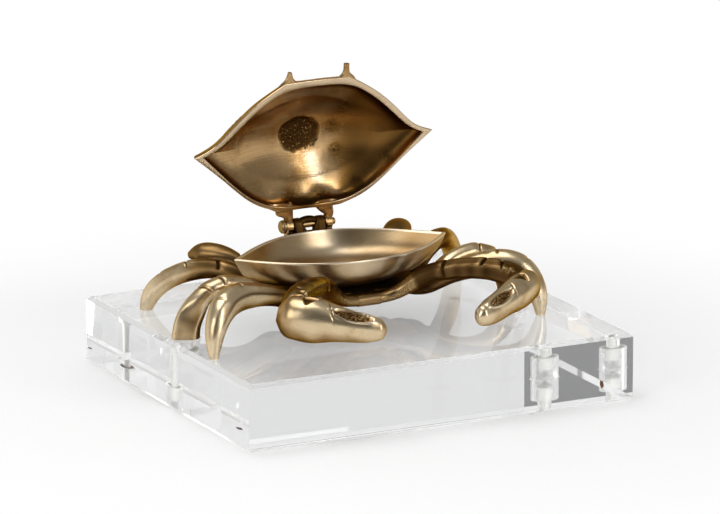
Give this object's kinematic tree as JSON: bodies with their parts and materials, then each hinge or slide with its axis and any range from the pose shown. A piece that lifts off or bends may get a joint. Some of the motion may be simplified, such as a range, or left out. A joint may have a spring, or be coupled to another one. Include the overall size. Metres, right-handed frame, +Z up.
{
  "type": "crab figurine",
  "caption": "Cast brass crab figurine on a clear acrylic block; its domed shell is a hinged lid over an almond-shaped bowl.",
  "frame": {"origin": "middle of the base's underside", "axes": "+X along the base's length, to the right as seen from the crab's front, +Y towards the hinge at the rear, +Z up"},
  "size_m": [0.153, 0.135, 0.1122],
  "materials": {
    "clear_acrylic": "polished clear",
    "nylon": "natural moulded",
    "brass_bowl": "brushed antique",
    "brass_lid": "brushed antique with dark patches",
    "brass_limbs": "satin antique",
    "brass_plate": "as cast, dark",
    "brass_hinge": "satin antique"
  },
  "bodies": {
    "crab": {"acrylic_base": "clear_acrylic", "mounting_screws": "nylon", "belly_plate": "brass_plate", "bowl": "brass_bowl", "hinge_bracket": "brass_hinge", "hinge_pin": "brass_hinge", "left_claw": "brass_limbs", "right_claw": "brass_limbs", "left_front_leg": "brass_limbs", "right_front_leg": "brass_limbs", "left_blade_leg": "brass_limbs", "right_blade_leg": "brass_limbs", "left_rear_leg": "brass_limbs", "right_rear_leg": "brass_limbs", "left_paddle_leg": "brass_limbs", "right_paddle_leg": "brass_limbs"},
    "lid": {"shell_lid": "brass_lid"}
  },
  "joints": [
    {"name": "lid_hinge", "type": "hinge", "parent": "crab", "child": "lid", "pos_m": [-0.0033, 0.0335, 0.0513], "axis": [-1, 0, 0], "range_deg": [-82, 0]}
  ]
}
